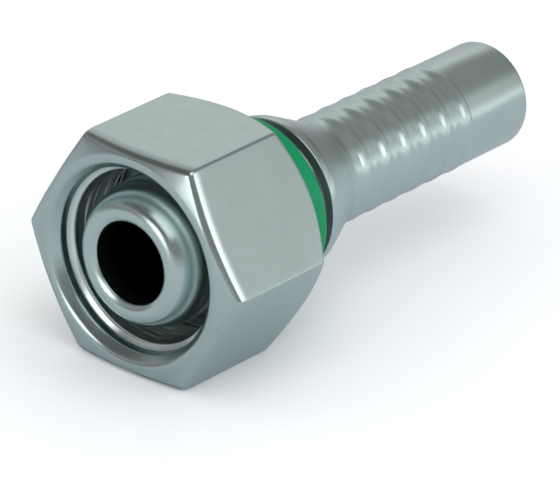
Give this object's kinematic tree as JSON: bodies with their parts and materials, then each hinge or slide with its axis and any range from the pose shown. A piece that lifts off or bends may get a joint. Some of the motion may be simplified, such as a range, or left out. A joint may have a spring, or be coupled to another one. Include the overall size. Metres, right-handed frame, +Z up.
{
  "type": "hydraulic hose fitting",
  "caption": "Straight hydraulic hose insert: a barbed steel tail and ball nose in one piece, with a hexagon swivel nut, a retaining wire and a green plastic marker ring.",
  "frame": {"origin": "centre of the nose face, where the flow bore opens", "axes": "+X along the flow bore from the nose to the hose tail, +Z up, with one flat of the nut facing down and one up"},
  "size_m": [0.0644, 0.031, 0.027],
  "materials": {
    "nipple_steel": "turned steel with a satin zinc plating",
    "nut_steel": "forged and turned steel with a satin zinc plating",
    "green_plastic": "smooth moulded plastic, solid green",
    "wire_steel": "bright drawn spring wire"
  },
  "bodies": {
    "insert": {"hose_nipple": "nipple_steel", "marker_ring": "green_plastic"},
    "nut": {"swivel_nut": "nut_steel", "retaining_wire": "wire_steel"}
  },
  "joints": [
    {"name": "nut_swivel", "type": "hinge", "parent": "insert", "child": "nut", "pos_m": [0, 0, 0], "axis": [1, 0, 0], "continuous": true}
  ]
}
